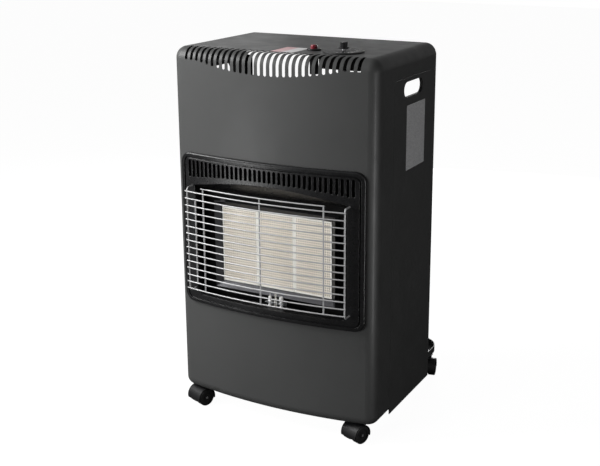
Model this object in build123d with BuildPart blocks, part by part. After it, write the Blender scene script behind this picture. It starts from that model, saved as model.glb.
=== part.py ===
"""Wheeled gas cabinet heater: a steel cabinet with a bowed front, a three-plaque radiant burner
behind a wire guard, the gas valve and igniter under the top, and a tray for the bottle behind.

Millimetres. +X is right seen from the front, -Y is the front, +Z is up, z = 0 is the floor.
The origin is on the floor in the middle of the plan.
"""
import os
from math import asin, cos, degrees, sin, sqrt

from build123d import *

os.makedirs("parts", exist_ok=True)

# ---- overall size ----------------------------------------------------------------------------
width = 420.0              # cabinet, over the side panels
depth = 450.0              # from the front of the wire guard to the rear edge of the base tray
height = 718.0             # floor to cabinet top
cabinet_overhang = 8.0     # lower edge of the cabinet below the tray
side_depth = 260.8         # where the bow meets the side, to the rear edge of the cabinet
bow_rise = 23.2            # how far the front bulges in the middle
sheet = 1.2                # cabinet steel
thin_sheet = 0.9           # burner and reflector steel
gap = 0.3                  # clearance between pieces that are laid against each other
running = 0.05             # radial clearance of a shaft in its hole

# ---- front casing ----------------------------------------------------------------------------
corner_radius = 24.0       # upright front corners
top_radius = 22.0
bottom_radius = 18.0
return_depth = 65.2        # side return of the casing, back to the upright seam
skirt_height = 46.5        # skirt of the top above the side panels
rear_flange = 14.0
slot_count = 29
slot_pitch = 12.52
slot_width = 6.2
slot_end_drop = 15.8       # from the top down to the lower end of the outermost slot
slot_dip = 23.6            # how much lower the middle slot reaches
slot_run_back = 43.0       # slot length on the top, behind the front of the bow
opening_radius = 12.0      # corners of the cut-out behind the bezel

# ---- side panels -----------------------------------------------------------------------------
front_fold = 12.0
rear_fold = 15.0
handle_length = 87.5
handle_height = 28.0
handle_back = 152.5        # handle hole centre, behind the front of the side
handle_drop = 68.3         # handle hole centre below the top
handle_lip = 5.0

# ---- base tray and partition -----------------------------------------------------------------
tray_sheet = 1.5
tray_rim = 12.0            # height of the turned-up rim above the tray floor
tray_front_back = 4.0      # tray front behind the front of the side
tray_front_inset = 5.8     # tray in from the casing's sides, ahead of the seam
tray_rear_inset = 22.8     # and behind the cabinet
tray_front_radius = 20.0
tray_rear_radius = 46.0
partition_drop = 110.0     # partition below the top
partition_fold = 12.0
screw_radius = 1.6
screw_head_radius = 3.4
screw_head_height = 2.0
screw_shank = 3.6          # below the head
screw_inset = 6.8          # screws in from the outside of the cabinet
screw_count = 3
screw_end = 58.0           # end screws in from the partition's ends

# ---- bezel -----------------------------------------------------------------------------------
bezel_half = 191.7
bezel_low = 227.0
bezel_high = 523.0
bezel_radius = 20.0
bezel_proud = 6.5
bezel_overlap = 13.0       # bezel over the edge of the casing's cut-out
bezel_top_overlap = 9.0
bead_round = 3.0
bead_width = 7.5
groove_width = 3.2
groove_depth = 3.0
bezel_jamb = 32.7          # outline of the bezel to the mouth, at the sides
bezel_sill = 19.0          # and below
mouth_radius = 14.0
mouth_round = 2.5
mouth_drop = 68.0          # inner top edge of the mouth, behind the brow, below the bezel's top
brow_drop = 52.0           # arched outer edge of the brow, at its ends, below the bezel's top
brow_rise = 10.0
collar_end = 2.0           # collar stops this far ahead of where the bow meets the side
collar_wall = 2.0
grille_count = 35
grille_pitch = 10.0
grille_slot = 6.0
grille_drop = 13.5         # upper ends of the slots below the bezel's top
grille_rib = 6.0           # between the brow and the slots

# ---- wire guard ------------------------------------------------------------------------------
guard_stand = 28.0         # wire centres ahead of the casing
wire_diameter = 2.5
stay_diameter = 3.0
weld = 0.3                 # how far crossing wires sink into each other
guard_rows = 15
guard_pitch = 13.65
guard_rise = 17.5          # lowest wire above the lower edge of the mouth
guard_reach = 8.0          # guard beyond the mouth at each side
stay_inset = 42.0          # upright wires in from the ends of the guard
left_stay_inset = 23.0     # extra upright at the left
top_wire_gap = 9.5         # short wire above the top row
foot_gap = 6.0             # feet beyond the outer rows
foot_bend = 6.0

# ---- burner ----------------------------------------------------------------------------------
plaque_back = 9.5          # plaque face behind the front of the side
plaque_width = 75.4
plaque_height = 146.8
plaque_thick = 13.0
plaque_rise = 27.0         # plaques above the lower edge of the mouth
plaque_pitch = 78.0
head_reveal = 3.0          # plaque stands this far out of its head
plaque_play = 0.2
head_depth = 34.0
head_fold = 9.0
head_round = 6.0
recess_back = 10.0         # recess wall behind the plaque face
recess_margin = 4.0        # recess box beyond the casing cut-out
venturi_radius = 11.0
venturi_throat = 8.5
venturi_mouth = 13.0
venturi_shift = -24.0      # mixing tube beside the middle of its head
venturi_drop = 83.0        # mouth of the mixing tube below the plaques
venturi_neck = 14.0        # narrowest place above that mouth
venturi_flare = 26.0       # where the tube is straight again
reflector_splay = 10.0     # how far a reflector's lip leans outwards
reflector_reach = 9.5      # and forwards
reflector_foot = 9.0
rail_drop = 18.0           # rail below the mixing tubes
rail_reach = 10.0
rail_foot = 16.0
injector_radius = 4.5
injector_length = 24.0
injector_hex = 12.0
injector_hex_height = 6.0
injector_tip = 2.0
injector_tip_length = 6.0
pipe_diameter = 6.0
pipe_bend = 10.0
pipe_drop = 23.0           # uppermost cross run below the rail
pipe_step = 12.0           # from one cross run to the next
pipe_play = 2.0            # around a pipe that passes the rail

# ---- pilot -----------------------------------------------------------------------------------
pilot_ahead = 14.0         # pilot pieces ahead of the plaque face
pilot_x = 6.0
pilot_pitch = 12.0
shelf_rise = 16.0          # shelf above the bottom of the recess box
shelf_half = 20.0
shelf_foot = 9.0
pilot_below = 9.0          # pilot pieces below the shelf
pilot_drop = 5.0           # their tips below the plaques
ceramic_radius = 3.0
ceramic_flange = 1.8       # thickness of the flange that rests on the shelf
spark_wire_radius = 0.75
spark_wire = 6.0           # bare wire above the ceramic
sensor_radius = 1.5
sensor_tip = 9.0           # thermocouple tip above its sleeve
pilot_cone_radius = 4.2
pilot_cone_height = 5.0
pilot_cone_drop = 8.0      # cone starts this far below the tips
tube_diameter = 4.0
lead_diameter = 3.0
lead_drop = 4.0            # uppermost pilot line below the recess box
lead_step = 7.0            # from one pilot line to the next
lead_pitch = 14.0          # between their upright runs
lead_inset = 9.0           # first upright run left of the igniter
lead_bend = 8.0
pilot_notch = 12.0         # depth of the notch in the collar for the pilot lines
notch_play = 2.0           # room beside the pilot pieces in that notch

# ---- controls --------------------------------------------------------------------------------
valve_x = 112.0
valve_back = 63.0          # behind the front of the side
valve_drop = 46.0          # valve body below the top
valve_width = 56.0
valve_depth = 30.0
valve_height = 38.0
valve_round = 3.0
outlet_pitch = 13.0
outlet_radius = 4.5
outlet_length = 6.0
pilot_outlet_radius = 3.2
pilot_outlet_inset = 4.5   # pilot outlet in from the left face of the valve
magnet_radius = 7.0
magnet_length = 14.0
magnet_rise = 4.0          # magnet unit above the bottom of the valve
bracket_width = 80.0
bracket_drop = 28.0
bracket_depth = 36.0
bracket_flange = 10.0
neck_radius = 7.0
neck_collar_radius = 10.0
neck_above = 10.0          # neck above the bracket
nut_height = 4.5
valve_nut_hex = 20.0
bore_depth = 50.0
spindle_radius = 3.0
push_rod_length = 10.0
push_travel = 3.5
dial_radius = 37.0
dial_thick = 2.5
knob_radius = 9.6
knob_skirt = 2.5
knob_round = 1.2
grip_length = 16.5
grip_width = 9.5
grip_round = 3.0          # upright edges of the grip
grip_height = 9.0
knob_bore = 8.0
igniter_x = 53.0
button_radius = 6.2
button_stand = 7.0
button_depth = 7.5
button_travel = 5.0
igniter_ring_radius = 13.0
igniter_ring_height = 3.0
igniter_neck_radius = 8.8
igniter_neck_length = 16.0
igniter_length = 46.0
igniter_body_radius = 8.0
igniter_nut_hex = 24.0
terminal_radius = 2.5
terminal_length = 5.0
hose_hex = 14.0
hose_hex_length = 8.0
hose_rise = 9.0            # inlet above the bottom of the valve
hose_radius = 4.0
hose_bore = 2.5
hose_length = 24.0

# ---- castors ---------------------------------------------------------------------------------
wheel_radius = 17.0
wheel_width = 14.0
wheel_round = 1.5
wheel_gap = 0.5
wheel_dish = 2.0
hub_radius = 6.0
castor_web = 9.5
castor_trail = 15.0
hood_wall = 1.8
hood_clearance = 1.0
hood_cut = 12.0            # lower edge of the hood above the floor
boss_radius = 8.5
boss_rise = 1.8            # boss above the round of the hood
castor_stem_radius = 3.0
castor_stem_length = 16.0  # below the collar
castor_axle_radius = 2.5
castor_collar_radius = 11.0
castor_collar = 2.0
castor_nut_hex = 12.0
castor_inset = 38.0        # castor stems in from the cabinet's sides
castor_front_back = 24.0   # front castor stems behind the front of the side
castor_rear_inset = 40.0   # rear castor stems ahead of the rear edge
front_heading = -21.0      # degrees, the way the castors happen to point
rear_heading = 12.0

# ---- derived places --------------------------------------------------------------------------
half_width = width / 2
front_y = -depth / 2 + wire_diameter / 2 + guard_stand
bow_radius = (half_width**2 + bow_rise**2) / (2 * bow_rise)
bow_centre = front_y + bow_radius
side_front = front_y + bow_rise
seam_y = side_front + return_depth
rear_y = side_front + side_depth
tray_rear = depth / 2
skirt_z = height - skirt_height
hood_radius = wheel_radius + hood_clearance + hood_wall
hood_top = wheel_radius + hood_radius + boss_rise
collar_low = hood_top + gap
castor_nut_low = collar_low + castor_collar + gap
tray_z = castor_nut_low + nut_height + gap
tray_top = tray_z + tray_sheet
rim_top = tray_top + tray_rim
cabinet_base = tray_z - cabinet_overhang
inner_half = half_width - sheet
partition_low = rim_top + gap
partition_top = height - partition_drop
opening_half = bezel_half - bezel_overlap
opening_low = bezel_low + bezel_overlap
opening_high = bezel_high - bezel_top_overlap
mouth_half = bezel_half - bezel_jamb
mouth_low = bezel_low + bezel_sill
mouth_high = bezel_high - mouth_drop
brow_end_z = bezel_high - brow_drop
guard_half = mouth_half + guard_reach
guard_low = mouth_low + guard_rise
plaque_low = mouth_low + plaque_rise
plaque_face = side_front + plaque_back
recess_y = plaque_face + recess_back
head_y = plaque_face + head_reveal
head_back = head_y + head_depth
venturi_y = head_back - venturi_mouth
pipe_y = (head_back + seam_y - sheet) / 2
pilot_y = plaque_face - pilot_ahead
guard_feet = (guard_low - foot_gap, guard_low + (guard_rows - 1) * guard_pitch + foot_gap)
valve_y = side_front + valve_back
valve_top = height - valve_drop
valve_low = valve_top - valve_height
bracket_z = height - sheet - bracket_drop
neck_top = bracket_z + sheet + neck_above


def bow_y(x, proud=0.0):
    """Y of the bowed front at x, moved outwards by proud."""
    return bow_centre - sqrt((bow_radius + proud) ** 2 - x**2)


def front_plane(y):
    """Upright plane across the cabinet: local x is +X, local y is +Z, it faces the front."""
    return Plane.XZ.offset(-y)


def side_plane(x):
    """Upright plane along the cabinet: local x is +Y, local y is +Z, it faces right."""
    return Plane.YZ.offset(x)


def bow_slab(half, low, high, outer, inner):
    """Slab that follows the bow between two offsets from the casing's face."""
    with BuildPart() as slab:
        with BuildSketch(Plane.XY.offset(low)):
            with BuildLine():
                ThreePointArc((-half, bow_y(half, outer)), (0, bow_y(0, outer)), (half, bow_y(half, outer)))
                Line((half, bow_y(half, outer)), (half, bow_y(half, inner)))
                ThreePointArc((half, bow_y(half, inner)), (0, bow_y(0, inner)), (-half, bow_y(half, inner)))
                Line((-half, bow_y(half, inner)), (-half, bow_y(half, outer)))
            make_face()
        extrude(amount=high - low)
    return slab.part


def bent_sheet(points, thickness):
    """Section of a folded sheet: a line of straight runs, thickened to its left."""
    with BuildSketch() as section:
        with BuildLine():
            Polyline(*points)
            offset(amount=thickness, side=Side.LEFT)
        make_face()
    return section.sketch


def post(x, y, low, high, radius, mode=Mode.ADD):
    """Upright cylinder in the piece being built."""
    with Locations((x, y, low)):
        Cylinder(radius, high - low, align=(Align.CENTER, Align.CENTER, Align.MIN), mode=mode)


def bent_tube(points, radius, bend):
    """Round rod along a line of straight runs with rounded bends."""
    with BuildPart() as tube:
        with BuildLine() as path:
            FilletPolyline(*points, radius=bend)
        with BuildSketch(Plane(origin=path.line @ 0, z_dir=path.line % 0)):
            Circle(radius)
        sweep(path=path.line)
    return tube.part


def save(part, name):
    """Label a finished piece and write it."""
    part.label = name
    export_step(part, f"parts/{name}.step")


# ---- front casing ----------------------------------------------------------------------------
def casing_block(inset):
    """Solid inside the casing's skin, moved inwards by inset."""
    half = half_width - inset
    corner_y = bow_y(half, -inset)
    back_y = rear_y - inset
    with BuildPart() as block:
        with BuildSketch(Plane.XY.offset(cabinet_base + inset)):
            with BuildLine():
                ThreePointArc((-half, corner_y), (0, front_y + inset), (half, corner_y))
                Polyline((half, corner_y), (half, back_y), (-half, back_y), (-half, corner_y))
            make_face()
        extrude(amount=height - cabinet_base - 2 * inset)
        fillet(block.edges().filter_by(Axis.Z).group_by(Axis.Y)[0], corner_radius - inset)
        fillet(block.faces().sort_by(Axis.Z)[-1].edges().sort_by(Axis.Y)[:-1], top_radius - inset)
        fillet(block.faces().sort_by(Axis.Z)[0].edges().sort_by(Axis.Y)[:-1], bottom_radius - inset)
    return block.part


slot_xs = [(i - (slot_count - 1) / 2) * slot_pitch for i in range(slot_count)]
slot_back_y = front_y + slot_run_back

with BuildPart() as front_casing:
    add(casing_block(0))
    add(casing_block(sheet), mode=Mode.SUBTRACT)
    # the side panels and the bottle bay take everything behind the seam and below the skirt
    with BuildSketch(Plane.XY):
        with Locations((0, (seam_y + rear_y) / 2 + 1)):
            Rectangle(width + 2, rear_y - seam_y + 2)
    extrude(amount=skirt_z, mode=Mode.SUBTRACT)
    # the rear edge of the top keeps a short flange
    with BuildSketch(front_plane(rear_y + 1)):
        with Locations((0, skirt_z)):
            Rectangle(width - 2 * sheet, 2 * (skirt_height - rear_flange))
    extrude(amount=sheet + 2, mode=Mode.SUBTRACT)
    # open bottom inside the turned-in edge
    with BuildSketch(Plane.XY.offset(cabinet_base - 1)):
        with BuildLine():
            half = half_width - bottom_radius
            edge_y = bow_y(half, -bottom_radius)
            ThreePointArc((-half, edge_y), (0, bow_y(0, -bottom_radius)), (half, edge_y))
            Polyline((half, edge_y), (half, seam_y + 1), (-half, seam_y + 1), (-half, edge_y))
        make_face()
    extrude(amount=sheet + 2, mode=Mode.SUBTRACT)
    # cut-out behind the bezel
    with BuildSketch(front_plane(side_front)):
        with Locations((0, (opening_low + opening_high) / 2)):
            RectangleRounded(2 * opening_half, opening_high - opening_low, opening_radius)
    extrude(amount=bow_rise + 2, mode=Mode.SUBTRACT)
    # slots that wrap over the top edge: their upright part, then their part in the top
    with BuildSketch(front_plane(slot_back_y - slot_width)):
        for x in slot_xs:
            low = height - slot_end_drop - slot_dip * (1 - (x / slot_xs[-1]) ** 2)
            with Locations((x, (low + height + top_radius) / 2)):
                SlotOverall(height + top_radius - low, slot_width, rotation=90)
    extrude(amount=slot_run_back, mode=Mode.SUBTRACT)
    with BuildSketch(Plane.XY.offset(height - top_radius)):
        for x in slot_xs:
            with Locations((x, slot_back_y - slot_run_back / 2 - slot_width)):
                SlotOverall(slot_run_back + 2 * slot_width, slot_width, rotation=90)
    extrude(amount=top_radius + 1, mode=Mode.SUBTRACT)
    # holes for the valve spindle and the igniter
    with BuildSketch(Plane.XY.offset(height - sheet - 1)):
        with Locations((valve_x, valve_y)):
            Circle(spindle_radius + 1)
        with Locations((igniter_x, valve_y)):
            Circle(igniter_neck_radius + gap)
    extrude(amount=sheet + 2, mode=Mode.SUBTRACT)
save(front_casing.part, "front_casing")


# ---- side panels -----------------------------------------------------------------------------
screw_span = partition_top - partition_low - 2 * screw_end
screw_zs = [partition_low + screw_end + screw_span * i / (screw_count - 1) for i in range(screw_count)]


def side_panel():
    """Right side: wall with a front and a rear fold, and a handle hole with a turned-in lip."""
    fold_y = seam_y + gap
    hole = (side_front + handle_back, height - handle_drop)
    with BuildPart() as panel:
        with BuildSketch(Plane.XY.offset(cabinet_base)):
            add(bent_sheet([(half_width - front_fold, fold_y), (half_width, fold_y), (half_width, rear_y),
                            (half_width - rear_fold, rear_y)], sheet))
        extrude(amount=skirt_z - gap - cabinet_base)
        # the folds stop above the base tray
        with BuildSketch(Plane.XY):
            with Locations((0, (fold_y + rear_y) / 2)):
                Rectangle(2 * inner_half, side_depth)
        extrude(amount=rim_top + gap, mode=Mode.SUBTRACT)
        with BuildSketch(side_plane(inner_half - handle_lip)):
            with Locations(hole):
                SlotOverall(handle_length + 2 * sheet, handle_height + 2 * sheet)
        extrude(amount=handle_lip + sheet / 2)
        with BuildSketch(side_plane(inner_half - handle_lip - 1)):
            with Locations(hole):
                SlotOverall(handle_length, handle_height)
        extrude(amount=handle_lip + sheet + 2, mode=Mode.SUBTRACT)
        with BuildSketch(front_plane(fold_y + sheet + 1)):
            with Locations([(half_width - screw_inset, z) for z in screw_zs]):
                Circle(screw_radius + gap)
        extrude(amount=sheet + 2, mode=Mode.SUBTRACT)
    return panel.part


right_panel = side_panel()
save(right_panel, "side_panel_right")
save(mirror(right_panel, about=Plane.YZ), "side_panel_left")


# ---- base tray -------------------------------------------------------------------------------
castor_x = half_width - castor_inset
castor_places = {
    "front_left": (-castor_x, side_front + castor_front_back, front_heading),
    "front_right": (castor_x, side_front + castor_front_back, front_heading),
    "rear_left": (-castor_x, tray_rear - castor_rear_inset, rear_heading),
    "rear_right": (castor_x, tray_rear - castor_rear_inset, rear_heading),
}
tray_front = side_front + tray_front_back
step_y = seam_y + sheet + 2 * gap
shoulder_y = rear_y - sheet - gap
wall_half = inner_half - gap
tray_front_half = inner_half - tray_front_inset
tray_rear_half = inner_half - tray_rear_inset

with BuildSketch() as tray_outline:
    with BuildLine():
        Polyline((0, tray_front), (tray_front_half, tray_front), (tray_front_half, step_y),
                 (wall_half, step_y), (wall_half, shoulder_y), (tray_rear_half, shoulder_y),
                 (tray_rear_half, tray_rear), (0, tray_rear))
        mirror(about=Plane.YZ)
    make_face()
    fillet(tray_outline.vertices().group_by(Axis.Y)[0], tray_front_radius)
    fillet(tray_outline.vertices().group_by(Axis.Y)[-1], tray_rear_radius)

with BuildPart() as base_tray:
    with BuildSketch(Plane.XY.offset(tray_z)):
        add(tray_outline.sketch)
    extrude(amount=rim_top - tray_z)
    with BuildSketch(Plane.XY.offset(tray_top)):
        add(tray_outline.sketch)
        offset(amount=-tray_sheet)
    extrude(amount=tray_rim, mode=Mode.SUBTRACT)
    for x, y, heading in castor_places.values():
        post(x, y, tray_z - 1, tray_top + 1, castor_stem_radius + gap, Mode.SUBTRACT)
save(base_tray.part, "base_tray")

# ---- partition between burner and bottle -----------------------------------------------------
screw_places = [(side * (half_width - screw_inset), z) for side in (-1, 1) for z in screw_zs]

with BuildPart() as partition_panel:
    with BuildSketch(front_plane(seam_y)):
        with Locations((0, (partition_low + partition_top) / 2)):
            Rectangle(2 * wall_half, partition_top - partition_low)
    extrude(amount=sheet)
    with BuildSketch(Plane.XY.offset(partition_top - sheet)):
        with Locations((0, seam_y + (partition_fold - sheet) / 2)):
            Rectangle(2 * (half_width - front_fold - gap), partition_fold + sheet)
    extrude(amount=sheet)
    with BuildSketch(front_plane(seam_y + 1)):
        with Locations(screw_places):
            Circle(screw_radius + gap)
    extrude(amount=sheet + 2, mode=Mode.SUBTRACT)
save(partition_panel.part, "partition_panel")

with BuildPart() as partition_screws:
    head_y0 = seam_y + gap + sheet
    with BuildSketch(front_plane(head_y0 + screw_head_height)):
        with Locations(screw_places):
            Circle(screw_head_radius)
    extrude(amount=screw_head_height)
    with BuildSketch(front_plane(head_y0)):
        with Locations(screw_places):
            Circle(screw_radius)
    extrude(amount=screw_shank)
save(partition_screws.part, "partition_screws")

# ---- bezel -----------------------------------------------------------------------------------
bezel_centre = (0, (bezel_low + bezel_high) / 2)
collar_back = side_front - collar_end
mouth_front = front_y - bezel_proud - 1


def bezel_ring(inset, outer, inner):
    """Plate that follows the bow, cut to the bezel's outline moved inwards by inset."""
    with BuildPart() as ring:
        add(bow_slab(bezel_half + 1, bezel_low - 1, bezel_high + 1, outer, inner))
        with BuildSketch(front_plane(side_front)):
            with Locations(bezel_centre):
                RectangleRounded(2 * (bezel_half - inset), bezel_high - bezel_low - 2 * inset,
                                 bezel_radius - inset)
        extrude(amount=bow_rise + bezel_proud + 2, mode=Mode.INTERSECT)
    return ring.part


def mouth_block(grow):
    """Space of the mouth, with its sloping brow, enlarged by grow on all sides."""
    half = mouth_half + grow
    with BuildPart() as block:
        with BuildSketch(front_plane(collar_back)):
            with Locations((0, (mouth_low + mouth_high) / 2)):
                RectangleRounded(2 * half, mouth_high - mouth_low + 2 * grow, mouth_radius + grow)
        extrude(amount=collar_back - mouth_front)
        for y, rise, top in ((mouth_front, brow_rise, brow_end_z), (collar_back, 1, mouth_high - 1)):
            middle = (mouth_low + mouth_high) / 2
            with BuildSketch(front_plane(y)):
                with BuildLine():
                    Line((-half, middle), (half, middle))
                    Line((half, middle), (half, top + grow))
                    ThreePointArc((half, top + grow), (0, top + rise + grow), (-half, top + grow))
                    Line((-half, top + grow), (-half, middle))
                make_face()
        loft()
    return block.part


with BuildPart() as bezel:
    add(bezel_ring(0, bezel_proud, gap))
    fillet(bezel.faces().filter_by(GeomType.CYLINDER).sort_by(Axis.Y)[0].edges(), bead_round)
    add(mouth_block(collar_wall).intersect(bow_slab(mouth_half + collar_wall + 1, bezel_low, bezel_high,
                                                    bezel_proud, -bow_rise)))
    add(bezel_ring(bead_width, bezel_proud + 1, bezel_proud - groove_depth)
        - bezel_ring(bead_width + groove_width, bezel_proud + 1, bezel_proud - groove_depth),
        mode=Mode.SUBTRACT)
    add(mouth_block(0), mode=Mode.SUBTRACT)
    bezel_front = bezel.faces().filter_by(GeomType.CYLINDER).sort_by(SortBy.AREA)[-1]
    fillet(bezel_front.inner_wires()[0].edges(), mouth_round)
    # grille above the brow
    with BuildSketch(front_plane(side_front)):
        for i in range(grille_count):
            x = (i - (grille_count - 1) / 2) * grille_pitch
            low = brow_end_z + brow_rise * max(0, 1 - (x / mouth_half) ** 2) + grille_rib
            high = bezel_high - grille_drop
            with Locations((x, (low + high) / 2)):
                SlotOverall(high - low, grille_slot, rotation=90)
        # holes for the feet of the guard
        with Locations([(side * (guard_half - stay_diameter), z) for side in (-1, 1) for z in guard_feet]):
            Circle(stay_diameter / 2 + gap)
    extrude(amount=bow_rise + bezel_proud + 2, mode=Mode.SUBTRACT)
    # notch in the lower collar for the pilot lines
    with BuildSketch(Plane.XY.offset(mouth_low - collar_wall - 1)):
        with Locations((pilot_x, collar_back)):
            Rectangle(2 * (shelf_half + notch_play), 2 * pilot_notch)
    extrude(amount=collar_wall + 2, mode=Mode.SUBTRACT)
save(bezel.part, "bezel")

# ---- wire guard ------------------------------------------------------------------------------
guard_radius = bow_radius + guard_stand
stay_proud = guard_stand - (wire_diameter + stay_diameter) / 2 + weld
row_heights = [guard_low + i * guard_pitch for i in range(guard_rows)]
top_wire_z = row_heights[-1] + top_wire_gap
foot_y = bow_y(guard_half, -bezel_proud / 2)
stay_half = guard_half - stay_inset
left_stay_x = left_stay_inset - guard_half


def bowed_wires(heights, half):
    """Horizontal wires that follow the bow, out to half on each side."""
    angle = asin(half / guard_radius)
    outward = (-sin(angle), -cos(angle), 0)
    start = Plane(origin=(0, bow_centre, 0), x_dir=outward, z_dir=(-cos(angle), sin(angle), 0))
    with BuildPart() as wires:
        with BuildSketch(start):
            with Locations([(guard_radius, z) for z in heights]):
                Circle(wire_diameter / 2)
        revolve(axis=Axis((0, bow_centre, 0), (0, 0, 1)), revolution_arc=2 * degrees(angle))
    return wires.part


with BuildPart() as wire_guard:
    for x in (-guard_half + stay_diameter, guard_half - stay_diameter):
        y = bow_y(x, stay_proud)
        add(bent_tube([(x, foot_y, guard_feet[0]), (x, y, guard_feet[0]), (x, y, guard_feet[1]),
                       (x, foot_y, guard_feet[1])], stay_diameter / 2, foot_bend))
    for x in (-stay_half, 0, stay_half):
        post(x, bow_y(x, stay_proud), row_heights[0], top_wire_z, stay_diameter / 2)
    post(left_stay_x, bow_y(left_stay_x, stay_proud), row_heights[1], row_heights[-2], stay_diameter / 2)
    add(bowed_wires(row_heights, guard_half))
    add(bowed_wires([top_wire_z], stay_half + stay_diameter))
save(wire_guard.part, "wire_guard")

# ---- burner ----------------------------------------------------------------------------------
plaque_xs = (-plaque_pitch, 0, plaque_pitch)
plaque_top = plaque_low + plaque_height
plaque_middle = (plaque_low + plaque_top) / 2
head_grow = plaque_play + thin_sheet
head_half = plaque_width / 2 + head_grow
head_low = plaque_low - head_grow
head_top = plaque_top + head_grow
heads_half = plaque_pitch + head_half
recess_half = opening_half + recess_margin
recess_low = opening_low - recess_margin
recess_top = opening_high + recess_margin
venturi_xs = [x + venturi_shift for x in plaque_xs]
venturi_low = plaque_low - venturi_drop
venturi_outer = [(venturi_radius, head_low + thin_sheet), (venturi_radius, venturi_low + venturi_flare),
                 (venturi_throat, venturi_low + venturi_neck), (venturi_mouth, venturi_low)]
recess_back_y = recess_y + thin_sheet


def recess_block(inset):
    """Space inside the recess box, between its back wall and the casing."""
    with BuildPart() as block:
        with BuildSketch(front_plane(recess_back_y - inset)):
            with Locations((0, (recess_low + recess_top) / 2)):
                RectangleRounded(2 * (recess_half - inset), recess_top - recess_low - 2 * inset,
                                 opening_radius + recess_margin - inset)
        extrude(amount=recess_back_y - front_y)
    return block.part


with BuildPart() as burner_recess:
    add(recess_block(0) - recess_block(thin_sheet))
    # the front rim lies behind the bowed casing
    with BuildSketch(Plane.XY.offset(recess_low - 1)):
        with Locations((0, bow_centre)):
            Circle(bow_radius - sheet - gap)
    extrude(amount=recess_top - recess_low + 2, mode=Mode.INTERSECT)
    # opening for the burner heads, and slots for the pilot lines and the guard's feet
    with BuildSketch(front_plane(recess_back_y + 1)):
        with Locations((0, plaque_middle)):
            Rectangle(2 * (heads_half + gap), head_top - head_low + 2 * gap)
    extrude(amount=thin_sheet + 2, mode=Mode.SUBTRACT)
    with BuildSketch(Plane.XY.offset(recess_low - 1)):
        with Locations((pilot_x, pilot_y)):
            SlotOverall(3 * pilot_pitch + notch_play, pilot_notch)
    extrude(amount=thin_sheet + 2, mode=Mode.SUBTRACT)
save(burner_recess.part, "burner_recess")


def head_block(x, inset):
    """Drawn pan of a burner head, moved inwards by inset and open to the front."""
    with BuildPart() as block:
        with BuildSketch(front_plane(head_back - inset)):
            with Locations((x, plaque_middle)):
                Rectangle(2 * (head_half - inset), head_top - head_low - 2 * inset)
        extrude(amount=head_depth)
        fillet(block.faces().sort_by(Axis.Y)[-1].edges(), head_round - inset)
    return block.part


for name, x in zip(("left", "middle", "right"), plaque_xs):
    with BuildPart() as plaque:
        with BuildSketch(front_plane(plaque_face + plaque_thick)):
            with Locations((x, plaque_middle)):
                Rectangle(plaque_width, plaque_height)
        extrude(amount=plaque_thick)
    save(plaque.part, f"ceramic_plaque_{name}")

    tube_x = x + venturi_shift
    with BuildPart() as head:
        add(head_block(x, 0))
        with BuildSketch(front_plane(recess_back_y + gap + thin_sheet)):
            with Locations((x, plaque_middle)):
                Rectangle(2 * head_half, head_top - head_low + 2 * head_fold)
        extrude(amount=thin_sheet)
        add(head_block(x, thin_sheet), mode=Mode.SUBTRACT)
        post(tube_x, venturi_y, head_low - 1, head_low + thin_sheet + 1, venturi_radius - thin_sheet,
             Mode.SUBTRACT)
        with BuildSketch(Plane(origin=(tube_x, venturi_y, 0), x_dir=(1, 0, 0), z_dir=(0, -1, 0))):
            with BuildLine():
                venturi_inner = [(r - thin_sheet, z) for r, z in reversed(venturi_outer)]
                Polyline(*venturi_outer, *venturi_inner, close=True)
            make_face()
        revolve(axis=Axis((tube_x, venturi_y, 0), (0, 0, 1)))
    save(head.part, f"burner_head_{name}")

# reflectors round the plaques, splayed outwards and mitred at the corners
side_x = heads_half + gap
shelf_low = head_low - gap
shelf_high = head_top + gap
wall_y = recess_y - gap
lip_y = plaque_face - reflector_reach
mitre = reflector_foot + reflector_splay


def mitred(section, outline):
    """Folded section, cut to an outline seen from the front."""
    with BuildPart() as reflector:
        add(section)
        with BuildSketch(front_plane(wall_y + 1)):
            with BuildLine():
                Polyline(*outline, close=True)
            make_face()
        extrude(amount=wall_y - lip_y + 2, mode=Mode.INTERSECT)
    return reflector.part


with BuildPart() as bottom_section:
    with BuildSketch(side_plane(-side_x - mitre)):
        add(bent_sheet([(wall_y, shelf_low - reflector_foot), (wall_y, shelf_low), (plaque_face, shelf_low),
                        (lip_y, shelf_low - reflector_splay)], thin_sheet))
    extrude(amount=2 * (side_x + mitre))
reflector_bottom = mitred(bottom_section.part, [
    (gap - side_x, shelf_low), (side_x - gap, shelf_low),
    (side_x - gap + mitre, shelf_low - mitre), (gap - side_x - mitre, shelf_low - mitre)])
save(reflector_bottom, "reflector_bottom")
save(mirror(reflector_bottom, about=Plane.XY.offset(plaque_middle)), "reflector_top")

with BuildPart() as side_section:
    with BuildSketch(Plane.XY.offset(shelf_low - mitre)):
        add(bent_sheet([(side_x + reflector_foot, wall_y), (side_x, wall_y), (side_x, plaque_face),
                        (side_x + reflector_splay, lip_y)], thin_sheet))
    extrude(amount=shelf_high - shelf_low + 2 * mitre)
reflector_right = mitred(side_section.part, [
    (side_x, shelf_low), (side_x + mitre, shelf_low - mitre),
    (side_x + mitre, shelf_high + mitre), (side_x, shelf_high)])
save(reflector_right, "reflector_right")
save(mirror(reflector_right, about=Plane.YZ), "reflector_left")

# ---- injectors and their rail ----------------------------------------------------------------
rail_half = plaque_pitch + injector_hex
rail_back = seam_y - sheet - gap
rail_z = venturi_low - rail_drop
injector_low = rail_z - injector_length / 2

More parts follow.
